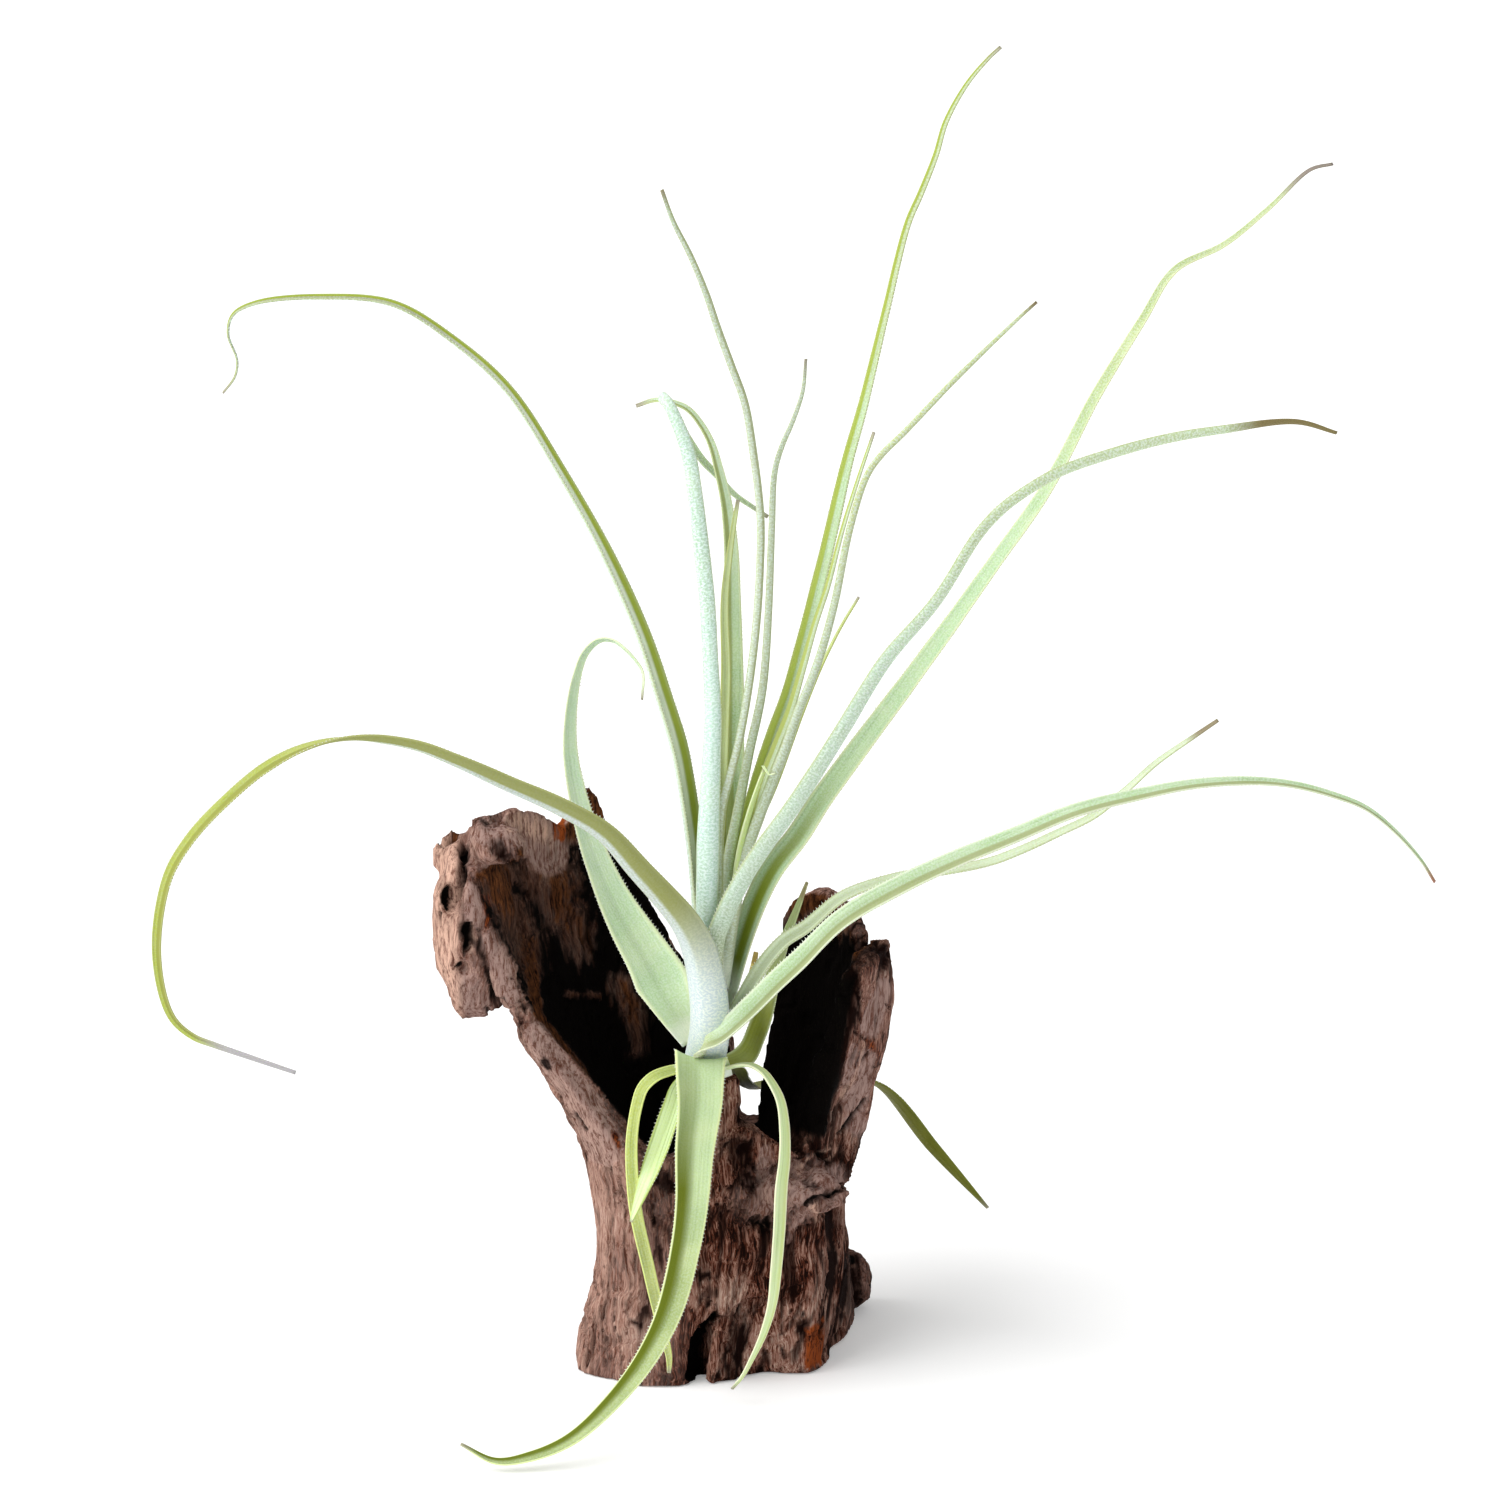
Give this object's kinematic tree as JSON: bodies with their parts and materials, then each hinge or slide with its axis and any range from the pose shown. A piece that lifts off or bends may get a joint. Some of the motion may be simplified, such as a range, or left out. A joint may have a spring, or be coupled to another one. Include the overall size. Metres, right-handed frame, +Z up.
{
  "type": "air plant on a driftwood stump",
  "caption": "Large air plant of long, tapering, arching and hanging silvery leaves, resting on a hollow, weathered driftwood stump.",
  "frame": {"origin": "middle of the stump's foot, on the surface that it stands on", "axes": "+Z up, the way that the tallest leaf grows, +X to the viewer's right, -Y towards the viewer, where the stump is open"},
  "size_m": [0.4215, 0.1675, 0.4474],
  "materials": {
    "wood": "weathered",
    "leaf": "matte",
    "stem": "matte",
    "dry_leaf": "matte"
  },
  "bodies": {
    "root": {"driftwood": "wood", "stem": "stem", "leaf_front_hanging": "leaf", "leaf_front_left_long": "leaf", "leaf_front_left_short": "leaf", "leaf_front_right_hanging": "leaf", "leaf_back_hanging": "leaf", "leaf_left_broad": "leaf", "leaf_left_low_arch": "leaf", "leaf_left_arch": "leaf", "leaf_right_low_arc": "leaf", "leaf_right_twisted": "leaf", "leaf_right_bent": "leaf", "leaf_right_tall": "leaf", "leaf_right_slim": "leaf", "leaf_centre_upright": "leaf", "leaf_back_folded": "leaf", "leaf_back_upright": "leaf", "leaf_tallest": "leaf", "leaf_upright_round": "leaf", "leaf_upright_thin": "leaf", "leaf_heart_olive": "leaf", "leaf_heart_slim": "leaf", "leaf_heart_young": "leaf", "leaf_heart_small": "leaf", "leaf_dry_stub": "dry_leaf"}
  },
  "joints": []
}
